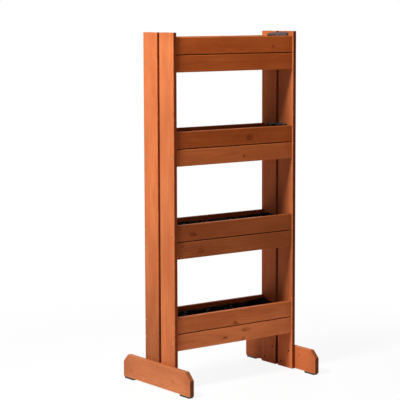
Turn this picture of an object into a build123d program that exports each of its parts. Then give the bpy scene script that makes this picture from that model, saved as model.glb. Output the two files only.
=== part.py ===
from build123d import *
import os

os.makedirs("parts", exist_ok=True)

# A free-standing planter: four troughs between two sides. A side is two upright boards on a foot board.
# Millimetres. X runs to the right, the front is at -Y, and Z is up from the floor, midway between the sides.

# Overall sizes
HEIGHT = 1200
TROUGH_LENGTH = 500
FOOT_LENGTH = 388

# Upright boards
UPRIGHT_WIDTH = 80
UPRIGHT_THICKNESS = 14
UPRIGHT_GAP = 12
UPRIGHT_TOP_EASE = 1.2

# Foot boards, with their upper corners cut off
FOOT_HEIGHT = 80
FOOT_THICKNESS = 18
FOOT_CUT_RUN = 26
FOOT_CUT_DROP = 26

# Glide strips under the feet
GLIDE_LENGTH = 50
GLIDE_THICKNESS = 6.5
GLIDE_INSET = 7
GLIDE_EDGE_EASE = 1

# Troughs: two boards in front, two behind
TIERS = ("top", "upper", "lower", "bottom")
TOP_DROP = 16
BOTTOM_CLEARANCE = 136
BOARD_HEIGHT = 56
BOARD_GAP = 3
BOARD_THICKNESS = 14
FRONT_RECESS = 5
REAR_RECESS = 0
ARRIS_RADIUS = 2.5

# Trough floors: two slats on a cleat at each end
CLEAT_HEIGHT = 16
CLEAT_WIDTH = 14
CLEAT_LIFT = 3
CLEAT_CLEARANCE = 0.5
SLAT_THICKNESS = 12
SLAT_DRAIN_GAP = 8
SLAT_SIDE_CLEARANCE = 1
SLAT_END_CLEARANCE = 1

# Film liners: the rim sags from the two ends of the trough to its middle
LINER_THICKNESS = 0.5
LINER_CLEARANCE = 0.3
LINER_CORNER_CUT = 8
LINER_TRIM = 10
LINER_MIDDLE_DROP = 11
LINER_END_RISE = {"top": 9, "upper": 6, "lower": 0, "bottom": -3}

# Screws and brads. There are many, so they are drawn with few sides, and without threads.
SCREW_HEAD_DIAMETER = 8
SCREW_HEAD_SLOPE = 45
SCREW_HEAD_SIDES = 12
SCREW_NECK_STEP = 0.3
SCREW_SHANK_DIAMETER = 4
SCREW_BITE = 31
FOOT_SCREW_SPREAD = 44
BRAD_DIAMETER = 2.4
BRAD_BITE = 14
BRAD_SINK = 1.5
GLIDE_BRAD_SPREAD = 30
SHANK_SIDES = 6
FASTENER_SLACK = 0.1
WOOD_LEFT = 3

# Places that follow from the sizes
SIDES = {"left": -1, "right": 1}
ROWS = {"front": -1, "rear": 1}
LAYERS = ("upper", "lower")
half_length = TROUGH_LENGTH / 2
side_depth = 2 * UPRIGHT_WIDTH + UPRIGHT_GAP
upright_y = (UPRIGHT_WIDTH + UPRIGHT_GAP) / 2
upright_x = half_length + UPRIGHT_THICKNESS / 2
outer_x = half_length + UPRIGHT_THICKNESS
foot_x = outer_x + FOOT_THICKNESS / 2
foot_middle_z = GLIDE_THICKNESS + FOOT_HEIGHT / 2
glide_y = FOOT_LENGTH / 2 - GLIDE_INSET - GLIDE_LENGTH / 2

trough_height = 2 * BOARD_HEIGHT + BOARD_GAP
pitch = (HEIGHT - TOP_DROP - trough_height - BOTTOM_CLEARANCE) / (len(TIERS) - 1)
rim_z = {tier: HEIGHT - TOP_DROP - count * pitch for count, tier in enumerate(TIERS)}
board_y = {
    "front": -side_depth / 2 + FRONT_RECESS + BOARD_THICKNESS / 2,
    "rear": side_depth / 2 - REAR_RECESS - BOARD_THICKNESS / 2,
}
board_drop = {"upper": BOARD_HEIGHT / 2, "lower": BOARD_HEIGHT * 1.5 + BOARD_GAP}
inside_front = board_y["front"] + BOARD_THICKNESS / 2
inside_rear = board_y["rear"] - BOARD_THICKNESS / 2
inside_depth = inside_rear - inside_front
inside_middle = (inside_front + inside_rear) / 2
cleat_rise = -trough_height + CLEAT_LIFT
slat_rise = cleat_rise + CLEAT_HEIGHT
floor_rise = slat_rise + SLAT_THICKNESS
head_depth = (SCREW_HEAD_DIAMETER - SCREW_SHANK_DIAMETER) / 2 - SCREW_NECK_STEP
cleat_brad_y = {
    "front": (inside_front - UPRIGHT_GAP / 2) / 2,
    "rear": (inside_rear + UPRIGHT_GAP / 2) / 2,
}

BASE = (Align.CENTER, Align.CENTER, Align.MIN)


def shank(diameter, length):
    """A six-sided pin that stands on the ground plane."""
    return extrude(RegularPolygon(diameter / 2, SHANK_SIDES), length)


def screw(length, slack=0.0):
    """A countersunk screw, flat head on the ground plane and tip upwards. Slack makes its hole."""
    outline = RegularPolygon(SCREW_HEAD_DIAMETER / 2 + slack, SCREW_HEAD_SIDES)
    head = extrude(outline, head_depth, taper=SCREW_HEAD_SLOPE)
    return head + shank(SCREW_SHANK_DIAMETER + 2 * slack, length + slack)


def brad(length, slack=0.0):
    """A headless nail, blunt end on the ground plane. Slack makes its hole, which is open behind it."""
    behind = BRAD_SINK if slack else 0
    return Pos(Z=-behind) * shank(BRAD_DIAMETER + 2 * slack, length + behind + slack)


def trough_screw(tier, row, layer, side, slack=0.0):
    """A screw from the outer face of an upright into the end of a trough board."""
    z = rim_z[tier] - board_drop[layer]
    seat = Plane((SIDES[side] * outer_x, board_y[row], z), z_dir=(-SIDES[side], 0, 0))
    return seat * screw(UPRIGHT_THICKNESS + SCREW_BITE, slack)


def foot_screw(row, side, step, slack=0.0):
    """A screw from the inner face of an upright into the foot board. Each pair slants down to the rear."""
    y = ROWS[row] * upright_y + step * FOOT_SCREW_SPREAD / 2
    z = foot_middle_z - step * FOOT_SCREW_SPREAD / 2
    seat = Plane((SIDES[side] * half_length, y, z), z_dir=(SIDES[side], 0, 0))
    return seat * screw(UPRIGHT_THICKNESS + FOOT_THICKNESS - WOOD_LEFT, slack)


def cleat_brad(tier, row, side, slack=0.0):
    """A brad from the inner face of a cleat into an upright."""
    x = SIDES[side] * (half_length - CLEAT_WIDTH + BRAD_SINK)
    z = rim_z[tier] + cleat_rise + CLEAT_HEIGHT / 2
    seat = Plane((x, cleat_brad_y[row], z), z_dir=(SIDES[side], 0, 0))
    return seat * brad(CLEAT_WIDTH - BRAD_SINK + UPRIGHT_THICKNESS - WOOD_LEFT, slack)


def glide_brad(row, side, step, slack=0.0):
    """A brad up through a glide into the foot board."""
    y = ROWS[row] * glide_y + step * GLIDE_BRAD_SPREAD / 2
    seat = Plane((SIDES[side] * foot_x, y, BRAD_SINK), z_dir=(0, 0, 1))
    return seat * brad(GLIDE_THICKNESS - BRAD_SINK + BRAD_BITE, slack)


def upright(row, side):
    """One upright board: long edges rounded, top edges eased, drilled for every screw and brad."""
    length = HEIGHT - GLIDE_THICKNESS
    board = Box(UPRIGHT_THICKNESS, UPRIGHT_WIDTH, length, align=BASE)
    board = fillet(board.edges().filter_by(Axis.Z), ARRIS_RADIUS)
    board = chamfer(board.faces().sort_by(Axis.Z)[-1].edges(), UPRIGHT_TOP_EASE)
    board = Pos(SIDES[side] * upright_x, ROWS[row] * upright_y, GLIDE_THICKNESS) * board
    for tier in TIERS:
        for layer in LAYERS:
            board -= trough_screw(tier, row, layer, side, FASTENER_SLACK)
        board -= cleat_brad(tier, row, side, FASTENER_SLACK)
    for step in (-1, 1):
        board -= foot_screw(row, side, step, FASTENER_SLACK)
    return board


def foot(side):
    """One foot board: upper corners cut off, edges rounded all round except underneath."""
    half = FOOT_LENGTH / 2
    top = GLIDE_THICKNESS + FOOT_HEIGHT
    outline = make_face(
        Polyline(
            (-half, GLIDE_THICKNESS),
            (half, GLIDE_THICKNESS),
            (half, top - FOOT_CUT_DROP),
            (half - FOOT_CUT_RUN, top),
            (-half + FOOT_CUT_RUN, top),
            (-half, top - FOOT_CUT_DROP),
            close=True,
        )
    )
    board = extrude(Plane.YZ * outline, FOOT_THICKNESS / 2, both=True)
    sides = board.faces().filter_by(Axis.X).edges()
    board = fillet(sides.filter_by(lambda e: e.center().Z > GLIDE_THICKNESS), ARRIS_RADIUS)
    board = Pos(X=SIDES[side] * foot_x) * board
    for row in ROWS:
        for step in (-1, 1):
            board -= foot_screw(row, side, step, FASTENER_SLACK)
            board -= glide_brad(row, side, step, FASTENER_SLACK)
    return board


def glide(row, side):
    """One glide strip, as wide as the foot board is thick, eased where it meets the floor."""
    strip = Box(FOOT_THICKNESS, GLIDE_LENGTH, GLIDE_THICKNESS, align=BASE)
    strip = chamfer(strip.faces().sort_by(Axis.Z)[0].edges(), GLIDE_EDGE_EASE)
    strip = Pos(SIDES[side] * foot_x, ROWS[row] * glide_y) * strip
    for step in (-1, 1):
        strip -= glide_brad(row, side, step, FASTENER_SLACK)
    return strip


def trough_board(tier, row, layer):
    """One board of a trough's front or rear: long edges rounded, a screw hole in each end."""
    board = Box(TROUGH_LENGTH, BOARD_THICKNESS, BOARD_HEIGHT)
    board = fillet(board.edges().filter_by(Axis.X), ARRIS_RADIUS)
    board = Pos(Y=board_y[row], Z=rim_z[tier] - board_drop[layer]) * board
    for side in SIDES:
        board -= trough_screw(tier, row, layer, side, FASTENER_SLACK)
    return board


def cleat(tier, side):
    """The batten across both uprights of a side, under the ends of the slats."""
    batten = Box(CLEAT_WIDTH, inside_depth - 2 * CLEAT_CLEARANCE, CLEAT_HEIGHT, align=BASE)
    x = SIDES[side] * (half_length - CLEAT_WIDTH / 2)
    batten = Pos(x, inside_middle, rim_z[tier] + cleat_rise) * batten
    for row in ROWS:
        batten -= cleat_brad(tier, row, side, FASTENER_SLACK)
    return batten


def slat(tier, row):
    """One floor slat, laid on the two cleats beside the drain gap."""
    width = (inside_depth - SLAT_DRAIN_GAP) / 2 - SLAT_SIDE_CLEARANCE
    board = Box(TROUGH_LENGTH - 2 * SLAT_END_CLEARANCE, width, SLAT_THICKNESS, align=BASE)
    y = inside_middle + ROWS[row] * (SLAT_DRAIN_GAP + width) / 2
    return Pos(Y=y, Z=rim_z[tier] + slat_rise) * board


def liner(tier):
    """One film liner: a thin open tray that bridges the corners, with a rim that sags in the middle."""
    length = TROUGH_LENGTH - 2 * LINER_CLEARANCE
    width = inside_depth - 2 * LINER_CLEARANCE
    bottom = floor_rise + LINER_CLEARANCE
    end_rise = LINER_END_RISE[tier]
    above = end_rise + LINER_TRIM
    outline = chamfer(Rectangle(length, width).vertices(), LINER_CORNER_CUT)
    block = extrude(outline, above - bottom)
    top_face = block.faces().sort_by(Axis.Z)[-1]
    tray = Pos(Z=bottom) * offset(block, -LINER_THICKNESS, openings=top_face)
    rim = ThreePointArc((-length / 2, end_rise), (0, -LINER_MIDDLE_DROP), (length / 2, end_rise))
    clear = above + LINER_TRIM
    over = Polyline((length / 2, end_rise), (length, clear), (-length, clear), (-length / 2, end_rise))
    tray -= extrude(Plane.XZ * make_face(rim + over), width, both=True)
    return Pos(Y=inside_middle, Z=rim_z[tier]) * tray


def write(node, shape):
    """Writes one piece, or one group of equal fasteners, under its name."""
    export_step(shape, f"parts/{node}.step")


for side in SIDES:
    write(f"{side}_foot", foot(side))
    for row in ROWS:
        write(f"{side}_{row}_upright", upright(row, side))
        write(f"{side}_{row}_glide", glide(row, side))

for tier in TIERS:
    for row in ROWS:
        for layer in LAYERS:
            write(f"{tier}_trough_{row}_{layer}_board", trough_board(tier, row, layer))
        write(f"{tier}_trough_{row}_floor_slat", slat(tier, row))
    for side in SIDES:
        write(f"{tier}_trough_{side}_cleat", cleat(tier, side))
    write(f"{tier}_trough_liner", liner(tier))

every_side = [(row, side) for row in ROWS for side in SIDES]
ends = [(tier, row, layer, side) for tier in TIERS for row, side in every_side for layer in LAYERS]
pairs = [(row, side, step) for row, side in every_side for step in (-1, 1)]
write("trough_screws", Compound(children=[trough_screw(*end) for end in ends]))
write("foot_screws", Compound(children=[foot_screw(*place) for place in pairs]))
write("glide_brads", Compound(children=[glide_brad(*place) for place in pairs]))
cleat_places = [(tier, row, side) for tier in TIERS for row, side in every_side]
write("cleat_brads", Compound(children=[cleat_brad(*place) for place in cleat_places]))
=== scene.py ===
# %% [markdown]
# # A planter of stained pine with four troughs
# The CAD model already holds every board, screw and glide at its true size and place. This lesson gives
# that model its looks: grain and stain on the boards, creased film in the troughs, real screw heads, light
# and a camera. Before each step it says what the thing is on the real planter, how it could be made, and
# why it is made this way.

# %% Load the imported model
import math
import random
from itertools import product
import bpy
from mathutils import Matrix, Vector, noise


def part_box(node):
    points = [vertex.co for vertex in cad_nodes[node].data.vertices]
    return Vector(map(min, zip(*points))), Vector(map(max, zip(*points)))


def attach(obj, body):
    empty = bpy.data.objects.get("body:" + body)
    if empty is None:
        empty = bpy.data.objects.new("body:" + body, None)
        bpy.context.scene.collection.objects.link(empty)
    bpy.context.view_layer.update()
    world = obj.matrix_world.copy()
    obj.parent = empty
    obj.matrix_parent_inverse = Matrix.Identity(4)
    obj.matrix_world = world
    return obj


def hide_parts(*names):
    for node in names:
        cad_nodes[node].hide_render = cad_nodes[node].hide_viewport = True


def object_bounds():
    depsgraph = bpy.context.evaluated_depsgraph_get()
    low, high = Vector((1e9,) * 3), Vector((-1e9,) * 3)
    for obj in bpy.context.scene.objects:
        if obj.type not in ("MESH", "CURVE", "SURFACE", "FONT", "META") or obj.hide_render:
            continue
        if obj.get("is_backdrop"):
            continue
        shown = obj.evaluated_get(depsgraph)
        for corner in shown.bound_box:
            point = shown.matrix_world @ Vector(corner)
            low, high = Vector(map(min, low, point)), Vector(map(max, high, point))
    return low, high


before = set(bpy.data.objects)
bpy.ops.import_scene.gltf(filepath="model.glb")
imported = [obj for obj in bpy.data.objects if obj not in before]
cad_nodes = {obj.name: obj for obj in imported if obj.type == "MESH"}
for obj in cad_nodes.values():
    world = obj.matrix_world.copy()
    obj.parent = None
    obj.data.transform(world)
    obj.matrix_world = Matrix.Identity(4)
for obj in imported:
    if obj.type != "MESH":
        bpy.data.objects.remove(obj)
cad_low, cad_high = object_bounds()
scene = bpy.context.scene
scene.view_settings.view_transform = "Standard"
MM = 0.001
print(f"{len(cad_nodes)} CAD nodes, {[round(side / MM) for side in cad_high - cad_low]} mm over all")

# %% [markdown]
# ## Camera
# The photograph looks at the planter from the left, from just over its top, through a long lens, so that
# upright edges stay nearly parallel. A camera can be placed by eye, but here it was solved: some six
# hundred points on board edges were matched with their places in the photograph, and these numbers fit most
# of them to a pixel.

# %% Camera
PHOTO_SIDE = 400
FOCAL_LENGTH_PIXELS = 1539.6
SENSOR_WIDTH = 36.0
CAMERA_PLACE = (-3.2305, -4.1736, 1.2689)
CAMERA_YAW = -0.6448
CAMERA_PITCH = 0.1220
CAMERA_ROLL = -0.0032

camera = bpy.data.objects.new("photo_camera", bpy.data.cameras.new("photo_camera"))
camera.data.sensor_width = SENSOR_WIDTH
camera.data.lens = FOCAL_LENGTH_PIXELS / PHOTO_SIDE * SENSOR_WIDTH
yaw = Matrix.Rotation(CAMERA_YAW, 4, "Z")
pitch = Matrix.Rotation(math.pi / 2 - CAMERA_PITCH, 4, "X")
roll = Matrix.Rotation(CAMERA_ROLL, 4, "Z")
camera.matrix_world = Matrix.Translation(CAMERA_PLACE) @ yaw @ pitch @ roll
scene.collection.objects.link(camera)
scene.camera = camera
print(f"camera lens {camera.data.lens:.1f} mm, {camera.location.length:.2f} m away")

# %% [markdown]
# ## Node helpers
# Materials here are networks of shader nodes. Nodes can be dragged together by hand in the editor. In a
# script, a few short helpers do the same, so that the lines below read like the sums that they stand for.
# What several materials share becomes a node group, built once and placed in each.

# %% Plugging nodes together
def plug(tree, socket, value):
    """Links a node's input to another node's output, or sets it to a plain value."""
    if isinstance(value, bpy.types.NodeSocket):
        tree.links.new(value, socket)
    else:
        socket.default_value = value


def fill(tree, sockets, values):
    """Plugs every value into the socket with its name or its number."""
    for key, value in values.items():
        plug(tree, sockets[key], value)


def put(tree, kind, values=(), **settings):
    """Adds a shader node with these settings, and fills its inputs by number or by name."""
    node = tree.nodes.new("ShaderNode" + kind)
    for name, setting in settings.items():
        setattr(node, name, setting)
    fill(tree, node.inputs, values if isinstance(values, dict) else dict(enumerate(values)))
    return node


print("plugging ready")

# %% Sums
def calc(tree, operation, *values):
    """One step of arithmetic on numbers."""
    return put(tree, "Math", values, operation=operation).outputs[0]


def vector(tree, operation, *values):
    """One step of arithmetic on vectors."""
    return put(tree, "VectorMath", values, operation=operation).outputs[0]


def length(tree, value):
    """The length of a vector."""
    return put(tree, "VectorMath", (value,), operation="LENGTH").outputs[1]


def split(tree, value):
    """The three numbers of a vector."""
    return put(tree, "SeparateXYZ", (value,)).outputs


def combine(tree, *numbers):
    """A vector of three numbers."""
    return put(tree, "CombineXYZ", numbers).outputs[0]


print("sums ready")

# %% Ramps and noise
def ease(tree, value, low, high, start=0.0, end=1.0):
    """Goes smoothly from start to end while value goes from low to high."""
    values = (value, low, high, start, end)
    return put(tree, "MapRange", values, interpolation_type="SMOOTHSTEP").outputs[0]


def cloud(tree, where, scale, detail=2.0, roughness=0.5):
    """Soft noise, as fine each way as its scale says: a number, and a colour of three separate numbers."""
    scaled = vector(tree, "MULTIPLY", where, scale)
    values = {"Vector": scaled, "Scale": 1.0, "Detail": detail, "Roughness": roughness}
    return put(tree, "TexNoise", values).outputs


print("ramps and noise ready")

# %% Starting a node group
def new_group(name, inputs, outputs):
    """Starts a node group with sockets named by kind, and returns its tree, its inputs and its outputs."""
    tree = bpy.data.node_groups.new(name, "ShaderNodeTree")
    for in_out, kinds in (("INPUT", inputs), ("OUTPUT", outputs)):
        for kind, labels in kinds.items():
            for label in labels:
                tree.interface.new_socket(label, in_out=in_out, socket_type="NodeSocket" + kind)
    given = tree.nodes.new("NodeGroupInput").outputs
    wanted = tree.nodes.new("NodeGroupOutput").inputs
    return tree, given, wanted


print("node groups ready")

# %% [markdown]
# ## Pine, as it grows
# A board is cut from a log, so its grain is a slice through tree rings. A flat stripe texture can't show
# that: the arches on a wide face, the lines on an edge and the curves on an end have to belong to one log.
# So the pattern is solid. Each point of a board asks how far it is from the log's middle, the pith, and
# which ring that distance falls in. Every ring goes slowly from pale early wood to dark late wood and then
# starts again. The pith leans a little against the board, which draws the long arches.

# %% Node group: pine, the distance from the pith
RING_WANDER = 7 * MM
WANDER_SCALE = (2.6, 11.0, 11.0)
tree, given, wanted = new_group(
    "pine",
    {"Vector": ("Grain", "Pith", "Lean"), "Float": ("Ring Width", "Seed")},
    {"Float": ("Late", "Fibre", "Fleck", "Blotch")},
)
shifted = vector(tree, "ADD", given["Grain"], given["Seed"])
slow = cloud(tree, shifted, WANDER_SCALE)[1]
centred = vector(tree, "SUBTRACT", slow, (0.5, 0.5, 0.5))
wander = vector(tree, "MULTIPLY", centred, (0.0, 2 * RING_WANDER, 2 * RING_WANDER))
along = split(tree, given["Grain"])[0]
pith_here = vector(tree, "ADD", given["Pith"], vector(tree, "MULTIPLY", given["Lean"], along))
from_pith = vector(tree, "SUBTRACT", vector(tree, "ADD", given["Grain"], wander), pith_here)
radius = length(tree, vector(tree, "MULTIPLY", from_pith, (0.0, 1.0, 1.0)))
print(f"pine group so far: {len(tree.nodes)} nodes")

# %% Node group: pine, rings and fibres
DRIFT_SCALE = 55.0
RING_DRIFT = 2.2
LATE_FROM = 0.25
LATE_FULL = 0.93
FAINTEST_RING = 0.35
FIBRE_SCALE = (13.0, 620.0, 620.0)
FLECK_SCALE = (70.0, 1500.0, 1500.0)
FLECK_RANGE = (0.64, 0.74)
BLOTCH_SCALE = (5.0, 19.0, 19.0)
BLOTCH_RANGE = (0.3, 0.7)
outwards = {"W": calc(tree, "MULTIPLY", radius, DRIFT_SCALE), "Scale": 1.0}
uneven = put(tree, "TexNoise", outwards, noise_dimensions="1D").outputs[0]
ring = calc(tree, "MULTIPLY_ADD", uneven, RING_DRIFT, calc(tree, "DIVIDE", radius, given["Ring Width"]))
growth = calc(tree, "FRACT", ring)
rising = ease(tree, growth, LATE_FROM, LATE_FULL)
falling = ease(tree, growth, LATE_FULL, 1.0, 1.0, 0.0)
year = calc(tree, "ADD", calc(tree, "FLOOR", ring), given["Seed"])
weather = put(tree, "TexWhiteNoise", {"W": year}, noise_dimensions="1D").outputs[0]
strength = ease(tree, weather, 0.0, 1.0, FAINTEST_RING, 1.0)
dots = cloud(tree, shifted, FLECK_SCALE, detail=1.0)[0]
patches = cloud(tree, shifted, BLOTCH_SCALE, detail=3.0)[0]
masks = {
    "Late": calc(tree, "MULTIPLY", calc(tree, "MULTIPLY", rising, falling), strength),
    "Fibre": cloud(tree, shifted, FIBRE_SCALE, detail=3.0, roughness=0.6)[0],
    "Fleck": ease(tree, dots, *FLECK_RANGE),
    "Blotch": ease(tree, patches, *BLOTCH_RANGE),
}
fill(tree, wanted, masks)
pine = tree
print(f"pine group: {len(tree.nodes)} nodes")

# %% [markdown]
# ## Knots
# A knot is the foot of a branch. The grain flows round it, and the branch itself shows as a dark oval with
# a darker rim. A dark spot painted on straight grain looks like a stain, so this group does both: it pulls
# the board's coordinates together near the knot, which bends every ring outwards round it, and it puts out
# a mask of the oval and one of its rim. Both are patchy, with a ragged outline, and as strong as the knot
# is meant to show. Knots are placed one after another, each passing its results to the next.

# %% Node group: knot
OUTLINE_SCALE = (110.0, 190.0, 60.0)
RAGGEDNESS = 2.4
PATCH_RANGE = (0.38, 0.62)
FAINTEST_PATCH = 0.25
HEART_SHARE = 0.6
RIM_SHARE = 0.4
FLOW_STRETCH = 2.6
FLOW_REACH = 4.5
KNOT_PULL = 0.22
tree, given, wanted = new_group(
    "knot",
    {"Vector": ("Grain", "Board", "Place"), "Float": ("Size", "Stretch", "Strength", "Heart", "Rim")},
    {"Vector": ("Grain",), "Float": ("Heart", "Rim")},
)
away = split(tree, vector(tree, "SUBTRACT", given["Board"], given["Place"]))
stretched = calc(tree, "DIVIDE", away[0], given["Stretch"])
ragged = cloud(tree, given["Board"], OUTLINE_SCALE, detail=3.0, roughness=0.6)
outline = calc(tree, "MULTIPLY", calc(tree, "SUBTRACT", ragged[0], 0.5), given["Size"])
distance = length(tree, combine(tree, stretched, away[1], 0.0))
distance = calc(tree, "MULTIPLY_ADD", outline, RAGGEDNESS, distance)
heart_edge = calc(tree, "MULTIPLY", given["Size"], HEART_SHARE)
rim_edge = calc(tree, "MULTIPLY", given["Size"], RIM_SHARE)
off_rim = calc(tree, "ABSOLUTE", calc(tree, "SUBTRACT", distance, given["Size"]))
masks = {
    "Heart": ease(tree, distance, heart_edge, given["Size"], 1.0, 0.0),
    "Rim": ease(tree, off_rim, 0.0, rim_edge, 1.0, 0.0),
}
patches = put(tree, "SeparateColor", (ragged[1],)).outputs[1]
patchy = ease(tree, patches, *PATCH_RANGE, FAINTEST_PATCH, 1.0)
patchy = calc(tree, "MULTIPLY", patchy, given["Strength"])
for label, mask in masks.items():
    shown = calc(tree, "MULTIPLY", mask, patchy)
    plug(tree, wanted[label], calc(tree, "MAXIMUM", given[label], shown))
print(f"knot group so far: {len(tree.nodes)} nodes")

# %% Node group: knot, the grain that flows round it
flow_length = calc(tree, "DIVIDE", stretched, FLOW_STRETCH)
flow_away = length(tree, combine(tree, flow_length, away[1], 0.0))
flow_end = calc(tree, "MULTIPLY", given["Size"], FLOW_REACH)
pull = ease(tree, flow_away, 0.0, flow_end, KNOT_PULL, 1.0)
towards = vector(tree, "SUBTRACT", given["Grain"], given["Place"])
pulled = vector(tree, "MULTIPLY", towards, combine(tree, 1.0, pull, 1.0))
plug(tree, wanted["Grain"], vector(tree, "ADD", given["Place"], pulled))
knot = tree
print(f"knot group: {len(tree.nodes)} nodes")

# %% [markdown]
# ## Arrises and ends
# On a finished board the stain is rubbed thin along the edges, which joiners call arrises, and end grain
# drinks more stain than a face does. The lighter arrises also carry a painted highlight, and the darker band
# near each end also carries painted shade where the boards meet the uprights. Blender can measure edges by
# pointiness, but that needs a dense mesh. A board is a plain box, so its own half sizes say how far each
# point is from the nearest edge and from the ends. Of the three depths below a board's faces, the middle one
# is the distance to the nearest arris.

# %% Node group: arris
ARRIS_REACH = 3.2 * MM
RUB_AND_HIGHLIGHT_SCALE = (60.0, 60.0, 60.0)
RUB_AND_HIGHLIGHT_MIDDLE = 0.45
RUB_AND_HIGHLIGHT_SPREAD = 1.5 * ARRIS_REACH
tree, given, wanted = new_group(
    "arris",
    {"Vector": ("Board", "Half Size"), "Float": ("Corner Cut",)},
    {"Float": ("Edge", "End", "Near End", "Narrow")},
)
inside = vector(tree, "SUBTRACT", given["Half Size"], vector(tree, "ABSOLUTE", given["Board"]))
depth = split(tree, inside)
total = calc(tree, "ADD", calc(tree, "ADD", depth[0], depth[1]), depth[2])
most = calc(tree, "MAXIMUM", calc(tree, "MAXIMUM", depth[0], depth[1]), depth[2])
least = calc(tree, "MINIMUM", calc(tree, "MINIMUM", depth[0], depth[1]), depth[2])
to_edge = calc(tree, "SUBTRACT", calc(tree, "SUBTRACT", total, most), least)
rub_and_highlight = cloud(tree, given["Board"], RUB_AND_HIGHLIGHT_SCALE, detail=4.0, roughness=0.6)[0]
rub_and_highlight = calc(tree, "MULTIPLY", calc(tree, "SUBTRACT", rub_and_highlight, RUB_AND_HIGHLIGHT_MIDDLE), RUB_AND_HIGHLIGHT_SPREAD)
# lighter along the arrises: stain rubbed thin, and a painted highlight
plug(tree, wanted["Edge"], ease(tree, calc(tree, "ADD", to_edge, rub_and_highlight), 0.0, ARRIS_REACH, 1.0, 0.0))
print(f"arris group so far: {len(tree.nodes)} nodes")

# %% Node group: arris, ends and narrow faces
END_SKIN = 1.4 * MM
SLANTED_END = 0.45
END_REACH = 45 * MM
NARROW_REACH = 2.0 * MM
from_top = vector(tree, "SUBTRACT", given["Half Size"], given["Board"])
below_top = split(tree, from_top)[1]
to_cut = calc(tree, "SUBTRACT", calc(tree, "ADD", depth[0], below_top), given["Corner Cut"])
square_end = ease(tree, depth[0], 0.0, END_SKIN, 1.0, 0.0)
slanted_end = ease(tree, to_cut, 0.0, END_SKIN, SLANTED_END, 0.0)
masks = {
    "End": calc(tree, "MAXIMUM", square_end, slanted_end),
    # darker near the ends: more stain, and painted shade where boards meet the uprights
    "Near End": ease(tree, depth[0], 0.0, END_REACH, 1.0, 0.0),
    "Narrow": ease(tree, depth[1], 0.0, NARROW_REACH, 1.0, 0.0),
}
fill(tree, wanted, masks)
arris = tree
print(f"arris group: {len(tree.nodes)} nodes")

# %% [markdown]
# ## Stain
# The planter is wiped with a red-brown stain. Late wood, knots and ends take it darker, rubbed edges keep
# less of it, and it dries to a low satin. The lighter edges are also a painted highlight, and the darker
# band near the ends is also painted shade. All of that is one group, so every board has the same finish: it
# turns the masks above into a colour, a roughness and a height for the bump. Each coat in the list below
# lays a share of one tone over the colour so far, where its mask says.

# %% Tones and coats
STAIN = {
    "Pale": (203, 114, 66),
    "Deep": (154, 74, 39),
    "Soaked": (128, 44, 10),
    "Dark": (72, 26, 8),
    # the arrises' tone: stain rubbed thin, and a painted highlight
    "Rubbed And Highlit": (212, 138, 89),
}
COATS = (
    ("Late", 0.28, "Deep"),
    ("Fibre", 0.18, "Deep"),
    ("Blotch", 0.4, "Deep"),
    ("Fleck", 0.35, "Dark"),
    # painted shade near the ends, with the deeper stain there
    ("Near End", 0.3, "Deep"),
    ("Narrow", 1.0, "Soaked"),
    ("Heart", 0.95, "Soaked"),
    ("Rim", 0.7, "Dark"),
    ("End", 0.72, "Dark"),
    ("Edge", 0.4, "Rubbed And Highlit"),
)
print(f"{len(STAIN)} tones in {len(COATS)} coats")

# %% Mixing colours and shares
def tint(tree, share, first, second):
    """Mixes a share of the second colour into the first."""
    return put(tree, "Mix", {0: share, 6: first, 7: second}, data_type="RGBA").outputs[2]


def add_shares(tree, value, masks, shares):
    """Adds to a value its share of each of these masks."""
    for mask, share in shares.items():
        value = calc(tree, "MULTIPLY_ADD", masks[mask], share, value)
    return value


print("mixing ready")

# %% Node group: stain
MASKS = ("Late", "Fibre", "Fleck", "Blotch", "Heart", "Rim", "Edge", "End", "Near End", "Narrow", "Sawn")
FIBRE_RANGE = (0.35, 0.75)
SATIN_ROUGHNESS = 0.4
ROUGHNESS_SHARES = {"Blotch": 0.1, "Late": -0.06, "End": 0.2}
HEIGHT_SHARES = {"Late": 0.5, "Fibre": 0.45, "Fleck": -0.5, "Rim": -0.6}
tree, given, wanted = new_group(
    "stain",
    {"Float": MASKS, "Color": STAIN},
    {"Color": ("Color",), "Float": ("Roughness", "Height")},
)
masks = {mask: given[mask] for mask in MASKS}
masks["Fibre"] = ease(tree, given["Fibre"], *FIBRE_RANGE)
masks["Narrow"] = calc(tree, "MULTIPLY", given["Narrow"], given["Sawn"])
colour = given["Pale"]
for mask, share, tone in COATS:
    colour = tint(tree, calc(tree, "MULTIPLY", masks[mask], share), colour, given[tone])
roughness = add_shares(tree, SATIN_ROUGHNESS, given, ROUGHNESS_SHARES)
height = add_shares(tree, 0.0, given, HEIGHT_SHARES)
fill(tree, wanted, {"Color": colour, "Roughness": roughness, "Height": height})
stain = tree
print(f"stain group: {len(tree.nodes)} nodes")

# %% [markdown]
# ## What shows on each board
# The knots that show on the photograph's boards are set where they are seen. Their place along and across
# from the board's middle and their size are in millimetres. Then comes how far each is stretched along the
# grain and how strongly it shows. Each of these boards has its own tone and redness too, partly because no
# two took the stain alike and partly as painted light and shade: painted floor light on the bottom trough,
# painted shade on the rear boards and the middle troughs' fronts. The sawn edges in the gaps carry painted
# light on the left and painted shade on the right. One upright's foot has painted floor light, and another's
# is darker towards the bottom. Pasting the photograph on would bring its light and its angle along, so the
# marks are listed, and the tones were found by comparing renders with the photograph.

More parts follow.
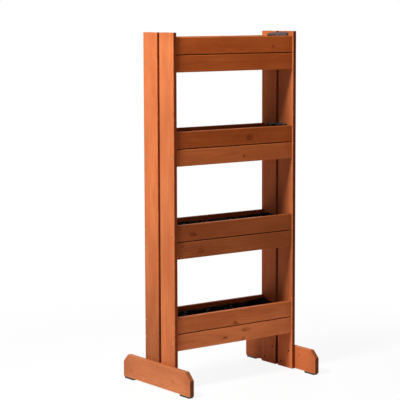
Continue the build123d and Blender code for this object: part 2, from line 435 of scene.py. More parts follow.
# %% Knots that show
SEEN_KNOTS = {
    "top_trough_front_upper_board": [(165, -7, 4.5, 1.3, 0.9)],
    "top_trough_front_lower_board": [],
    # this knot is drawn larger: part of its dark patch is a painted shadow
    "upper_trough_front_upper_board": [(62, -5, 11.0, 1.2, 1.0)],
    "upper_trough_front_lower_board": [(36, -7, 4.5, 1.3, 1.0)],
    "lower_trough_front_upper_board": [(-181, -7, 7.0, 1.7, 0.9), (-202, 20, 5.0, 1.3, 0.4)],
    "lower_trough_front_lower_board": [(-151, -6, 7.0, 1.5, 0.7), (-226, 16, 5.0, 1.2, 0.7)],
    "bottom_trough_front_upper_board": [(-1, -19, 6.0, 1.5, 1.0)],
    "bottom_trough_front_lower_board": [
        (-45, -7, 4.5, 2.2, 0.8),
        (33, -20, 5.0, 1.4, 0.9),
        (46, 10, 6.0, 2.8, 0.8),
        (188, -19, 2.5, 1.2, 0.9),
    ],
    "left_foot": [(146, -13, 8.0, 1.1, 0.3), (-100, -6, 8.0, 1.0, 0.3)],
    "left_front_upright": [],
    "left_rear_upright": [],
    "right_front_upright": [],
    "right_rear_upright": [],
}
print(f"{sum(map(len, SEEN_KNOTS.values()))} knots seen")

# %% Tones, edges and feet that show, with painted light and shade
# tone and redness: each board's own stain, mixed with painted light and shade
# painted floor light on the bottom trough; painted shade on the rear boards and the middle troughs' fronts
STAIN_LIGHT_AND_SHADE = {
    "top_trough_front_upper_board": (1.13, 0.54),
    "top_trough_front_lower_board": (1.07, 0.5),
    "upper_trough_front_upper_board": (0.83, 0.48),
    "upper_trough_front_lower_board": (1.11, 0.2),
    "upper_trough_rear_upper_board": (0.75, 0.3),
    "lower_trough_front_upper_board": (0.69, 0.22),
    "lower_trough_front_lower_board": (0.7, 0.17),
    "lower_trough_rear_upper_board": (0.65, 0.3),
    "bottom_trough_front_upper_board": (1.12, 0.05),
    "bottom_trough_front_lower_board": (1.25, -0.05),
    "bottom_trough_rear_upper_board": (0.7, 0.2),
    "left_front_upright": (0.94, -0.1),
    "left_rear_upright": (1.0, -0.08),
    "right_front_upright": (0.87, 0.0),
    "right_rear_upright": (1.06, -0.02),
    "left_foot": (0.94, -0.35),
    "right_foot": (1.04, 0.0),
}
# tone of the sawn edges against the board's own: painted light in the left gap, painted shade in the right
EDGE_LIGHT_AND_SHADE = {"left_rear_upright": 1.35, "right_front_upright": 0.6, "right_rear_upright": 0.4}
# share of colour at the foot, and how far up it reaches
# painted floor light on the right front upright's foot; the left rear upright is darker towards the bottom
SEEN_FEET = {"left_rear_upright": (0.58, 600 * MM), "right_front_upright": (1.44, 340 * MM)}
print(f"{len(STAIN_LIGHT_AND_SHADE)} tones seen, {len(EDGE_LIGHT_AND_SHADE)} edges and {len(SEEN_FEET)} feet unlike the rest")

# %% [markdown]
# ## One material for each board
# No two boards of a planter come from the same place in the log, so each gets its own material: the same
# groups, with its own pith, ring width, tone and knots. A Mapping node of type Texture turns object
# coordinates into board coordinates, which run along the grain, across the width and through the thickness
# from the board's middle. The pith and the ring width come from a random generator seeded with the board's
# name, so they are the same on every run.

# %% Colours
GREEN_SHARE = 0.45


def paint(red, green, blue):
    """A colour as a picture shows it, 0 to 255, as the linear colour that shaders work in."""
    parts = [part / 255 for part in (red, green, blue)]
    linear = [p / 12.92 if p < 0.04045 else ((p + 0.055) / 1.055) ** 2.4 for p in parts]
    return (*linear, 1.0)


def toned(colour, tone, redness):
    """A stain colour made lighter or darker by a factor, and redder by taking blue and some green away."""
    red, green, blue, opaque = paint(*colour)
    return (red * tone, green * tone * (1 - GREEN_SHARE * redness), blue * tone * (1 - redness), opaque)


print("pale stain as linear light:", [round(part, 2) for part in paint(*STAIN["Pale"])[:3]])

# %% Board coordinates
def board_form(name):
    """A board's middle, its world axes from the longest to the shortest, and half its size along each."""
    low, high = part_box(name)
    size = high - low
    axes = sorted(range(3), key=lambda axis: -size[axis])
    return (low + high) / 2, axes, [size[axis] / 2 for axis in axes]


def board_coordinates(tree, middle, axes):
    """Coordinates along the grain, across the width and through the thickness, from a board's middle."""
    grain, width = (Vector([float(i == axis) for i in range(3)]) for axis in axes[:2])
    turn = Matrix((grain, width, grain.cross(width))).transposed().to_euler()
    place = put(tree, "TexCoord").outputs["Object"]
    return put(tree, "Mapping", {0: place, 1: middle, 2: turn}, vector_type="TEXTURE").outputs[0]


print("left foot:", [round(2 * half / MM) for half in board_form("left_foot")[2]], "mm")

# %% Grain round the knots
def bend_round_knots(tree, board, knots):
    """Board coordinates bent round each knot, with masks of the knots' hearts and rims."""
    flow = {"Grain": board, "Heart": 0.0, "Rim": 0.0}
    for along, across, size, stretch, strength in knots:
        where = {"Board": board, "Place": (along, across, 0.0)}
        form = {"Size": size, "Stretch": stretch, "Strength": strength}
        node = put(tree, "Group", {**flow, **where, **form}, node_tree=knot)
        flow = {label: node.outputs[label] for label in flow}
    return flow


print("grain that bends round knots ready")

# %% Cut from the log
PITH_ACROSS = 0.7
PITH_BEHIND = (26, 60)
LEAN_ACROSS = 0.012
LEAN_BACK = 0.03
RING_WIDTH = (2.6, 4.2)
SEEDS = (1.0, 40.0)


def cut_from_log(tree, name, grain, half_width):
    """The pine masks of a board, cut from a place in the log that its name draws by chance."""
    chance = random.Random(name)
    pith_across = chance.uniform(-PITH_ACROSS, PITH_ACROSS) * half_width
    pith_behind = chance.choice((-1, 1)) * chance.uniform(*PITH_BEHIND) * MM
    lean_across = chance.uniform(-LEAN_ACROSS, LEAN_ACROSS)
    lean_back = chance.uniform(-LEAN_BACK, LEAN_BACK)
    cut = {
        "Grain": grain,
        "Pith": (0.0, pith_across, pith_behind),
        "Lean": (0.0, lean_across, lean_back),
        "Ring Width": chance.uniform(*RING_WIDTH) * MM,
        "Seed": chance.uniform(*SEEDS),
    }
    return put(tree, "Group", cut, node_tree=pine).outputs


print(f"rings {RING_WIDTH[0]} to {RING_WIDTH[1]} mm wide, pith {PITH_BEHIND[0]} to {PITH_BEHIND[1]} mm away")

# %% Material helpers
def new_material(name):
    """Starts a material, and returns it with its tree and its Principled shader."""
    material = bpy.data.materials.new(name)
    material.use_nodes = True
    shader = material.node_tree.nodes["Principled BSDF"]
    return material, material.node_tree, shader


def shade_foot(tree, name, board, half_length, colour):
    """A board's colour, lighter or darker towards its foot where that shows."""
    foot_share, reach = SEEN_FEET.get(name, (1.0, half_length))
    # lighter or darker towards the foot: painted floor light on the right front upright
    shade = ease(tree, split(tree, board)[0], -half_length, reach - half_length, foot_share, 1.0)
    return put(tree, "VectorMath", {"Vector": colour, "Scale": shade}, operation="SCALE").outputs[0]


# the right front upright's lighter foot is painted floor light
print("feet of their own tone:", ", ".join(SEEN_FEET))

# %% Board material
FOOT_CUT = 26 * MM
SAWN_EDGE = 0.9
GRAIN_HEIGHT = 0.35 * MM
GRAIN_STRENGTH = 0.5
WOOD_SHINE = 0.04


def stained_board(name, tone, redness, knots):
    """A pine material for a board, with knots as (along, across, size, stretch, strength)."""
    middle, axes, half_size = board_form(name)
    material, tree, shader = new_material(f"stained_pine_{name}")
    board = board_coordinates(tree, middle, axes)
    flow = bend_round_knots(tree, board, knots)
    wood = cut_from_log(tree, name, flow["Grain"], half_size[1])
    corner_cut = FOOT_CUT if name.endswith("_foot") else 0.0
    box = {"Board": board, "Half Size": half_size, "Corner Cut": corner_cut}
    edges = put(tree, "Group", box, node_tree=arris).outputs
    sawn = SAWN_EDGE if name.endswith("_upright") else 0.0
    masks = {"Heart": flow["Heart"], "Rim": flow["Rim"], "Sawn": sawn}
    masks.update({output.name: output for output in (*wood, *edges)})
    colours = {label: toned(colour, tone, redness) for label, colour in STAIN.items()}
    # some uprights' sawn edges carry painted light and shade here
    colours["Soaked"] = toned(STAIN["Soaked"], tone * EDGE_LIGHT_AND_SHADE.get(name, 1.0), redness)
    finish = put(tree, "Group", {**masks, **colours}, node_tree=stain).outputs
    grain = {"Strength": GRAIN_STRENGTH, "Distance": GRAIN_HEIGHT, "Height": finish["Height"]}
    surface = {
        "Base Color": shade_foot(tree, name, board, half_size[0], finish["Color"]),
        "Roughness": finish["Roughness"],
        "Normal": put(tree, "Bump", grain).outputs[0],
        "Specular IOR Level": WOOD_SHINE,
    }
    fill(tree, shader.inputs, surface)
    return material


print("board material ready")

# %% [markdown]
# ## Staining the boards
# Every wooden node of the CAD model now gets its material. Boards that the photograph doesn't show could
# all share one plain board, but the back would look printed. So they get a tone and a knot or two by
# chance, as any pine board has.

# %% Knots by chance
KNOT_COUNTS = (0, 1, 1, 2)
KNOT_ALONG = 0.85
KNOT_ACROSS = 0.7
KNOT_SIZES = (0.08, 0.2)
KNOT_STRETCH = (1.1, 1.8)
KNOT_STRENGTH = (0.5, 1.0)


def knots_of(name):
    """The knots of one board in metres: those that show in the photograph, or a few by chance."""
    if name in SEEN_KNOTS:
        return [(a * MM, b * MM, size * MM, *form) for a, b, size, *form in SEEN_KNOTS[name]]
    half_length, half_width, _ = board_form(name)[2]
    chance = random.Random("knots of " + name)
    found = []
    for _ in range(chance.choice(KNOT_COUNTS)):
        along = chance.uniform(-KNOT_ALONG, KNOT_ALONG) * half_length
        across = chance.uniform(-KNOT_ACROSS, KNOT_ACROSS) * half_width
        size = chance.uniform(*KNOT_SIZES) * half_width
        found.append((along, across, size, chance.uniform(*KNOT_STRETCH), chance.uniform(*KNOT_STRENGTH)))
    return found


print("knots in the right foot:", len(knots_of("right_foot")))

# %% Stain every board
TONE_SPREAD = 0.06


def is_board(name):
    """Whether a CAD node is a wooden board."""
    return name.endswith(("_board", "_upright", "_foot", "_slat", "_cleat"))


def finish_node(name, material):
    """Gives a CAD node this material in every slot."""
    for slot in cad_nodes[name].material_slots:
        slot.material = material


boards = [name for name in sorted(cad_nodes) if is_board(name)]
for name in boards:
    by_chance = 1 + random.Random("tone of " + name).uniform(-TONE_SPREAD, TONE_SPREAD)
    tone, redness = STAIN_LIGHT_AND_SHADE.get(name, (by_chance, 0.0))
    finish_node(name, stained_board(name, tone, redness, knots_of(name)))
print(f"stained {len(boards)} boards, {sum(len(knots_of(name)) for name in boards)} knots in all")

# %% [markdown]
# ## Film liners
# A sheet of black film lines every trough. It was pushed in by hand, so it creases, and it is held by a few
# staples near its top edge. That edge sags along the boards and dips at the corners. At the ends it is a
# flap that stands over the boards in the top trough and has slipped down in the bottom one. A tray of flat
# faces would look like a plastic box. So the sheet is first laid as a tray of small squares: a grid for the
# floor, whose outer edges are extruded upwards step by step. Extruding leaves the faces in another order on
# each run. Creases grow out of the smallest difference, so the order is settled before they form.

# %% How high each film stands
TIERS = ("top", "upper", "lower", "bottom")
FILM_SAG = 15 * MM
CORNER_DIP = 11 * MM
FLAP_MIDDLE = -6 * MM
FLAP_REACH = 62 * MM
FLAP_SQUARENESS = 18
FLAP_TILT = 200 * MM
END_STAND = {"top": 11 * MM, "upper": 6 * MM, "lower": -9 * MM, "bottom": -20 * MM}


def board_top(tier):
    """The height of a trough's top edge."""
    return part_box(f"{tier}_trough_front_upper_board")[1].z


def film_rim(tier):
    """A function for the height of a film's top edge at x, y."""
    end_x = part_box(f"{tier}_trough_liner")[1].x
    board_z = board_top(tier)

    def height(x, y):
        end = (x / end_x) ** 2
        flap = max(0.0, 1 - abs((y - FLAP_MIDDLE) / FLAP_REACH) ** FLAP_SQUARENESS)
        stand = END_STAND[tier] * (1 - y / FLAP_TILT)
        return board_z - (1 - end) * FILM_SAG + end * (flap * stand - (1 - flap) * CORNER_DIP)

    return height


print("films' ends over the boards:", {tier: round(stand / MM) for tier, stand in END_STAND.items()}, "mm")

# %% Mesh helpers
def select_only(*pieces):
    """Deselects everything, then selects these pieces and makes the first one active."""
    bpy.ops.object.select_all(action="DESELECT")
    for piece in pieces:
        piece.select_set(True)
    if pieces:
        bpy.context.view_layer.objects.active = pieces[0]


def edit(selection):
    """Goes into edit mode and selects or deselects the whole mesh."""
    bpy.ops.object.mode_set(mode="EDIT")
    bpy.ops.mesh.select_all(action=selection)


def set_in_place(piece, size, middle):
    """Stretches a primitive of side one to its size and moves it to its place, in the mesh itself."""
    piece.data.transform(Matrix.Diagonal((*size, 1)))
    piece.data.transform(Matrix.Translation(middle))


print("mesh helpers ready")

# %% A fixed order of faces
def settle_order(mesh):
    """Puts a mesh's faces in a fixed order, because extruding leaves them in another one on each run."""
    points = [vertex.co.copy() for vertex in mesh.vertices]
    faces = [list(face.vertices) for face in mesh.polygons]
    starts = [face.index(min(face)) for face in faces]
    turned = sorted(face[start:] + face[:start] for face, start in zip(faces, starts))
    mesh.clear_geometry()
    mesh.from_pydata(points, [], turned)


print("face order ready")

# %% Lay the film as a tray
FILM_CELL = 5.5 * MM
RIM_WAVE = 2.0 * MM
WAVES_PER_METRE = 22


def lay_film(tier):
    """A tray of small squares in the place of the CAD liner, with an uneven rim."""
    low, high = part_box(f"{tier}_trough_liner")
    size = high - low
    counts = [round(side / FILM_CELL) for side in size]
    select_only()
    bpy.ops.mesh.primitive_grid_add(x_subdivisions=counts[0], y_subdivisions=counts[1], size=1)
    film = bpy.context.object
    film.name = f"{tier}_trough_film"
    set_in_place(film, (size.x, size.y, 1), ((low.x + high.x) / 2, (low.y + high.y) / 2, low.z))
    edit("DESELECT")
    bpy.ops.mesh.select_non_manifold()
    for _ in range(counts[2]):
        bpy.ops.mesh.extrude_region_move(TRANSFORM_OT_translate={"value": (0, 0, size.z / counts[2])})
    bpy.ops.object.mode_set(mode="OBJECT")
    settle_order(film.data)
    rim = film_rim(tier)
    for vertex in film.data.vertices:
        wave = noise.noise(vertex.co * WAVES_PER_METRE) * RIM_WAVE
        share = (vertex.co.z - low.z) / size.z
        vertex.co.z = low.z + share * (rim(vertex.co.x, vertex.co.y) + wave - low.z)
    return film


films = {tier: lay_film(tier) for tier in TIERS}
print("film squares in each liner:", [len(film.data.polygons) for film in films.values()])

# %% [markdown]
# ## Creases
# Creases could be sculpted, but film has its own way of giving in. Cloth makes each film a little too large
# for its trough, while a mould, a box with its faces turned inwards, keeps it inside. The film has nowhere
# to go, so it buckles into creases, as the real one does. The places of the staples are pinned. The result
# is applied, so no simulation is left on the piece.

# %% Where staples hold the film
STAPLE_DROP = 7 * MM
STAPLES_ALONG = (-205 * MM, -105 * MM, -8 * MM, 95 * MM, 200 * MM)
STAPLES_ACROSS = (-36 * MM, 38 * MM)


def staple_places(tier):
    """The staples of one film: (point on the wall, direction along the wall, direction into the wall)."""
    low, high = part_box(f"{tier}_trough_liner")
    rim = film_rim(tier)
    places = []
    for x in STAPLES_ALONG:
        for y, out in ((low.y, -1), (high.y, 1)):
            point = Vector((x * out, y, rim(x, y) - STAPLE_DROP))
            places.append((point, Vector((1, 0, 0)), Vector((0, out, 0))))
    for y in STAPLES_ACROSS:
        for x, out in ((low.x, -1), (high.x, 1)):
            point = Vector((x, y, rim(x, y) - STAPLE_DROP))
            places.append((point, Vector((0, 1, 0)), Vector((out, 0, 0))))
    return places


print("staples in each trough:", [len(staple_places(tier)) for tier in TIERS])

# %% Inside of each trough
def trough_inside(tier):
    """Lowest and highest corner of the room between a trough's boards, above its slats."""
    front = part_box(f"{tier}_trough_front_upper_board")[1]
    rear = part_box(f"{tier}_trough_rear_upper_board")[0]
    floor_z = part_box(f"{tier}_trough_front_floor_slat")[1].z
    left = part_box("left_front_upright")[1].x
    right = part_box("right_front_upright")[0].x
    return Vector((left, front.y, floor_z)), Vector((right, rear.y, front.z))


for tier in TIERS:
    low, high = trough_inside(tier)
    print(tier, "trough inside:", [round(side / MM) for side in high - low], "mm")

# %% A mould for each film
MOULD_SKIN = 0.4 * MM
MOULD_FRICTION = 3


def new_box(size, middle):
    """A box of this size round this place."""
    select_only()
    bpy.ops.mesh.primitive_cube_add(size=1)
    set_in_place(bpy.context.object, size, middle)
    return bpy.context.object


def make_mould(tier):
    """A box as large as the trough's inside and twice as high, that only faces inwards."""
    low, high = trough_inside(tier)
    size = high - low
    middle = ((low.x + high.x) / 2, (low.y + high.y) / 2, high.z)
    mould = new_box((size.x, size.y, 2 * size.z), middle)
    edit("SELECT")
    bpy.ops.mesh.flip_normals()
    bpy.ops.object.mode_set(mode="OBJECT")
    mould.modifiers.new("Collision", "COLLISION")
    mould.collision.thickness_outer = MOULD_SKIN
    mould.collision.cloth_friction = MOULD_FRICTION
    return mould


print(f"mould skin {MOULD_SKIN / MM:.1f} mm")

# %% Pins and cloth
PIN_REACH = 8 * MM
FILM_GROWTH = 0.035
FILM_SKIN = 0.4 * MM


def pin_film(film, tier):
    """Puts the film's corners under a staple into the group that Cloth holds still."""
    pins = film.vertex_groups.new(name="stapled")
    points = [place[0] for place in staple_places(tier)]
    nearest = [min((vertex.co - point).length for point in points) for vertex in film.data.vertices]
    held = [index for index, distance in enumerate(nearest) if distance < PIN_REACH]
    pins.add(held, 1.0, "REPLACE")


def add_cloth(film):
    """Thin film that wants to be larger than its trough."""
    cloth = film.modifiers.new("Crease", "CLOTH")
    cloth.settings.vertex_group_mass = "stapled"
    cloth.settings.shrink_min = -FILM_GROWTH
    cloth.settings.quality = 6
    cloth.settings.mass = 0.05
    cloth.settings.tension_stiffness = 20
    cloth.settings.compression_stiffness = 20
    cloth.settings.shear_stiffness = 8
    cloth.settings.bending_stiffness = 0.05
    cloth.settings.air_damping = 3
    cloth.settings.effector_weights.gravity = 0.15
    cloth.collision_settings.distance_min = FILM_SKIN


print(f"films grow by {FILM_GROWTH:.1%}")

# %% Crease the films
FILM_FRAMES = 22
moulds = [make_mould(tier) for tier in TIERS]
for tier, film in films.items():
    pin_film(film, tier)
    add_cloth(film)
for step in range(1, FILM_FRAMES + 1):
    scene.frame_set(step)
for film in films.values():
    bpy.context.view_layer.objects.active = film
    bpy.ops.object.modifier_apply(modifier="Crease")
for mould in moulds:
    bpy.data.objects.remove(mould)
scene.frame_set(1)
print("tops of the films:", [round(max(v.co.z for v in film.data.vertices), 3) for film in films.values()])

# %% [markdown]
# ## Corner folds and thickness
# Film pushed into a box has too much cloth at each corner. It is folded into a flat triangle against the
# long wall. Cloth could fold it too, but seldom into so neat a triangle. So the fold is a small grid whose
# far edge runs from the bottom corner up to the rim. Then Solidify gives the sheet its thickness.

# %% Thickness and joining
def thicken(piece, thickness):
    """Gives a sheet its thickness, half to each side, with clean outward faces."""
    select_only(piece)
    wall = piece.modifiers.new("Thickness", "SOLIDIFY")
    wall.thickness = thickness
    wall.offset = 0.0
    bpy.ops.object.modifier_apply(modifier="Thickness")
    edit("SELECT")
    bpy.ops.mesh.normals_make_consistent(inside=False)
    bpy.ops.object.mode_set(mode="OBJECT")
    bpy.ops.object.shade_smooth()


def join(pieces, name):
    """Joins pieces into the first of them, which gets this name."""
    select_only(*pieces)
    bpy.ops.object.join()
    pieces[0].name = name
    return pieces[0]


print("thickness and joining ready")

# %% Fold the corners
SIDES = {"left": -1, "right": 1}
ROWS = {"front": -1, "rear": 1}
FOLD_THICKNESS = 0.9 * MM
FOLD_GRID = (12, 14)
FOLD_REACH = 66 * MM
FOLD_FOOT = 0.06
FOLD_INSET = 2 * MM
FOLD_DROP = 1 * MM
FOLD_STAND = 2.2 * MM
FOLD_SPREAD = 4 * MM
FOLD_RIPPLE = 1.6 * MM
RIPPLES = (2.5, 3)
RIPPLE_STEPS = (9, 50)


def fold_corner(tier, side, row):
    """The spare film of one corner, as a double triangle that stands a little off the long wall."""
    low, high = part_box(f"{tier}_trough_liner")
    rim = film_rim(tier)
    corner_x = SIDES[side] * high.x
    wall_y = high.y if row == "rear" else low.y
    own_ripple = corner_x * RIPPLE_STEPS[0] + wall_y * RIPPLE_STEPS[1]  # its own place in the noise
    select_only()
    bpy.ops.mesh.primitive_grid_add(x_subdivisions=FOLD_GRID[0], y_subdivisions=FOLD_GRID[1], size=1)
    fold = bpy.context.object
    for vertex in fold.data.vertices:
        out = vertex.co.x + 0.5
        up = FOLD_FOOT + (1 - FOLD_FOOT) * (vertex.co.y + 0.5)
        ripple = noise.noise(Vector((out * RIPPLES[0], up * RIPPLES[1], own_ripple))) * FOLD_RIPPLE
        stand = FOLD_STAND + out * out * up * FOLD_SPREAD + ripple
        x = corner_x - SIDES[side] * (FOLD_INSET + out * up * FOLD_REACH)
        z = low.z + up * (rim(x, wall_y) - FOLD_DROP - low.z)
        vertex.co = (x, wall_y - ROWS[row] * stand, z)
    thicken(fold, FOLD_THICKNESS)
    return fold


print(f"folds reach {FOLD_REACH / MM:.0f} mm from the corner")

# %% Thick films with folded corners
FILM_THICKNESS = 0.35 * MM
FILM_ROOM = 0.25 * MM


def keep_inside(film, tier):
    """Puts any stray corner of the film back inside the boards and below the uprights' tops."""
    low, high = trough_inside(tier)
    room = FILM_ROOM + FILM_THICKNESS / 2
    for vertex in film.data.vertices:
        x, y, z = vertex.co
        x = min(max(x, low.x + room), high.x - room)
        y = min(max(y, low.y + room), high.y - room)
        vertex.co = (x, y, min(max(z, low.z + room), cad_high.z - room))


for tier, film in films.items():
    keep_inside(film, tier)
    thicken(film, FILM_THICKNESS)
    folds = [fold_corner(tier, side, row) for side, row in product(SIDES, ROWS)]
    join((film, *folds), film.name)
print("film faces:", [len(film.data.polygons) for film in films.values()])

# %% [markdown]
# ## Film finish
# The film is black polythene: nearly black, smooth enough to throw small bright glints from its creases,
# and dull where it was handled. Its near-black base also holds painted shade inside the troughs. What stands
# above the boards is grey with dust and weather, and lighter still with painted light where it stands in the
# open. A mask could be painted for that, but height says it all, so each corner of the mesh carries its
# height over the rim as an attribute. Fine creases that are too small for the mesh come from ridges in a
# noise texture.

# %% Black film, creased and handled
# near-black base, which also holds painted shade inside the troughs
FILM_BLACK_AND_SHADE = paint(6, 6, 6)
FILM_HAZE = paint(17, 16, 16)
CRUMPLE_SCALE = (70.0, 70.0, 70.0)
RIDGE_WIDTH = 0.06
RIDGE_HAZE = 0.35
HANDLED_SCALE = (14.0, 14.0, 14.0)
HANDLED_RANGE = (0.4, 0.7)
HANDLED_HAZE = 0.4
black_film, tree, shader = new_material("black_film")
place = put(tree, "TexCoord").outputs["Object"]
crumple = cloud(tree, place, CRUMPLE_SCALE, detail=3.0, roughness=0.55)[0]
centred = calc(tree, "SUBTRACT", crumple, 0.5)
ridge = ease(tree, calc(tree, "ABSOLUTE", centred), 0.0, RIDGE_WIDTH, 1.0, 0.0)
handled = ease(tree, cloud(tree, place, HANDLED_SCALE, detail=4.0, roughness=0.6)[0], *HANDLED_RANGE)
haze = calc(tree, "MULTIPLY_ADD", ridge, RIDGE_HAZE, calc(tree, "MULTIPLY", handled, HANDLED_HAZE))
colour = tint(tree, haze, FILM_BLACK_AND_SHADE, FILM_HAZE)
print(f"black film so far: {len(tree.nodes)} nodes")

# %% Black film, dust, painted light and shine
FILM_DUST_AND_LIGHT = paint(88, 74, 76)
FILM_SHINE = 0.08
FILM_ROUGHNESS = 0.26
CRUMPLE_BUMP = {"Strength": 0.6, "Distance": 1.2 * MM}
HANDLED_ROUGHNESS = 0.18
DUST_AND_LIGHT_RAGGED = 20 * MM
DUST_AND_LIGHT_RANGE = (-3 * MM, 5 * MM)
DUST_AND_LIGHT_SHARE = 0.9
over_rim = put(tree, "Attribute", attribute_name="over_rim").outputs["Fac"]
# lighter above the rim: dust, and painted light on film that stands in the open
ragged_dust_and_light = calc(tree, "MULTIPLY_ADD", centred, DUST_AND_LIGHT_RAGGED, over_rim)
dust_and_light = ease(tree, ragged_dust_and_light, *DUST_AND_LIGHT_RANGE, 0.0, DUST_AND_LIGHT_SHARE)
surface = {
    "Base Color": tint(tree, dust_and_light, colour, FILM_DUST_AND_LIGHT),
    "Roughness": calc(tree, "MULTIPLY_ADD", handled, HANDLED_ROUGHNESS, FILM_ROUGHNESS),
    "Normal": put(tree, "Bump", {**CRUMPLE_BUMP, "Height": crumple}).outputs[0],
    "Specular IOR Level": FILM_SHINE,
}
fill(tree, shader.inputs, surface)
print(f"black film: {len(tree.nodes)} nodes")

# %% Film in every trough
for tier, film in films.items():
    rim_z = board_top(tier)
    heights = film.data.attributes.new("over_rim", "FLOAT", "POINT")
    heights.data.foreach_set("value", [vertex.co.z - rim_z for vertex in film.data.vertices])
    film.data.materials.clear()
    film.data.materials.append(black_film)
    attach(film, "root")
    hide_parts(f"{tier}_trough_liner")
print("black film on", len(films), "liners")

# %% [markdown]
# ## Staples
# A staple is one bent wire: a crown that lies on the film and two legs in the wood. It could be a wire
# swept along a path, but flat wire has square sides. So it starts as a flat bar, is cut near both ends, and
# the end pieces are extruded into legs. Its outer shoulders are bevelled, because wire can't bend sharply.
# One staple is modelled at the origin, then copied to every place.

# %% Choosing faces
DOWNWARDS = -0.9


def select_faces(piece, wanted):
    """Goes into edit mode and selects the faces of a piece for which wanted says yes."""
    edit("DESELECT")
    bpy.ops.mesh.select_mode(type="FACE")
    bpy.ops.object.mode_set(mode="OBJECT")
    for face in piece.data.polygons:
        face.select = wanted(face)
    bpy.ops.object.mode_set(mode="EDIT")


def looks_down(face):
    """Whether a face points downwards."""
    return face.normal.z < DOWNWARDS


print("choosing faces ready")

# %% Model a staple
CROWN = Vector((11 * MM, 1.2 * MM, 0.6 * MM))
LEG_LENGTH = 6 * MM
LEG_WIDTH = 0.7 * MM
SHOULDER = 0.22 * MM
staple = new_box(CROWN, (0, 0, CROWN.z / 2))
leg_from = CROWN.x / 2 - LEG_WIDTH
for out in SIDES.values():
    edit("SELECT")
    bpy.ops.mesh.bisect(plane_co=(out * leg_from, 0, 0), plane_no=(1, 0, 0))
    bpy.ops.object.mode_set(mode="OBJECT")
select_faces(staple, lambda face: looks_down(face) and abs(face.center.x) > leg_from)
bpy.ops.mesh.extrude_region_move(TRANSFORM_OT_translate={"value": (0, 0, -LEG_LENGTH)})
bpy.ops.object.mode_set(mode="OBJECT")
round_over = staple.modifiers.new("Round", "BEVEL")
round_over.width = SHOULDER
round_over.segments = 2
bpy.ops.object.modifier_apply(modifier="Round")
print("staple faces:", len(staple.data.polygons))

# %% Staple the films down
def copy_to(piece, matrix):
    """A copy of a piece with its own mesh, moved there in the mesh itself."""
    copied = piece.copy()
    copied.data = piece.data.copy()
    copied.data.transform(matrix)
    scene.collection.objects.link(copied)
    return copied


staples = {}
for tier in TIERS:
    copies = []
    for point, along_wall, into_wall in staple_places(tier):
        upward = into_wall.cross(along_wall)
        turn = Matrix((along_wall, upward, -into_wall)).transposed().to_4x4()
        seat = Matrix.Translation(point - into_wall * (FILM_ROOM + FILM_THICKNESS))
        copies.append(copy_to(staple, seat @ turn))
    staples[tier] = join(copies, f"{tier}_trough_staples")
bpy.data.objects.remove(staple)
print("staple faces in each trough:", [len(piece.data.polygons) for piece in staples.values()])

# %% [markdown]
# ## Screws
# The heads of countersunk screws sit flush in the uprights. The CAD screws have the right size and place,
# but plain heads. Here one screw is modelled: a cone for the head, a shank that is extruded from it ring by
# ring with thread ridges, and a point. Its cross recess is cut by two narrow wedges with Boolean, the way
# that the tool at the factory strikes it. A cone with a drawn cross would look flat in every other view.

# %% A wedge for the recess
RECESS_LENGTH = 4.6 * MM
RECESS_WIDTH = 0.95 * MM
RECESS_DEPTH = 1.9 * MM
RECESS_TAPER = (0.45, 0.7, 1.0)


def wedge(turn):
    """A narrow wedge across the head, for one arm of the cross."""
    piece = new_box((RECESS_LENGTH, RECESS_WIDTH, 2 * RECESS_DEPTH), (0, 0, 0))
    select_faces(piece, looks_down)
    bpy.ops.transform.resize(value=RECESS_TAPER)
    bpy.ops.object.mode_set(mode="OBJECT")
    piece.data.transform(Matrix.Rotation(turn, 4, "Z"))
    return piece


print(f"recess {RECESS_LENGTH / MM:.1f} mm across, {RECESS_DEPTH / MM:.1f} mm deep")

# %% Growing a screw and cutting its head
def grow(down, scale):
    """Extrudes the selected lowest face of a screw downwards and scales its new end."""
    bpy.ops.mesh.extrude_region_move(TRANSFORM_OT_translate={"value": (0, 0, -down)})
    bpy.ops.transform.resize(value=(scale, scale, 1.0))


def cut_recess(screw):
    """Cuts a cross into the head."""
    wedges = [wedge(turn) for turn in (0.0, math.pi / 2)]
    select_only(screw)
    for cutter in wedges:
        cut = screw.modifiers.new("Recess", "BOOLEAN")
        cut.operation = "DIFFERENCE"
        cut.object = cutter
        bpy.ops.object.modifier_apply(modifier="Recess")
        bpy.data.objects.remove(cutter)


print("screw helpers ready")

# %% Sizes of the screws
TROUGH_SCREW = 45 * MM
FOOT_SCREW = 25 * MM
HEAD_SIDES = 20
HEAD_RADIUS = 3.75 * MM
HEAD_DEPTH = 2.6 * MM
SHANK_RADIUS = 1.5 * MM
SHANK_SHARE = 0.25
THREAD_RADIUS = 1.9 * MM
THREAD_PITCH = 2.0 * MM
FLANK_SHARE = 0.3
GROOVE_SHARE = 0.4
POINT_LENGTH = 4 * MM
POINT_SCALE = 0.12
SMOOTH_BELOW = math.radians(35)
print(f"screws {TROUGH_SCREW / MM:.0f} and {FOOT_SCREW / MM:.0f} mm long")

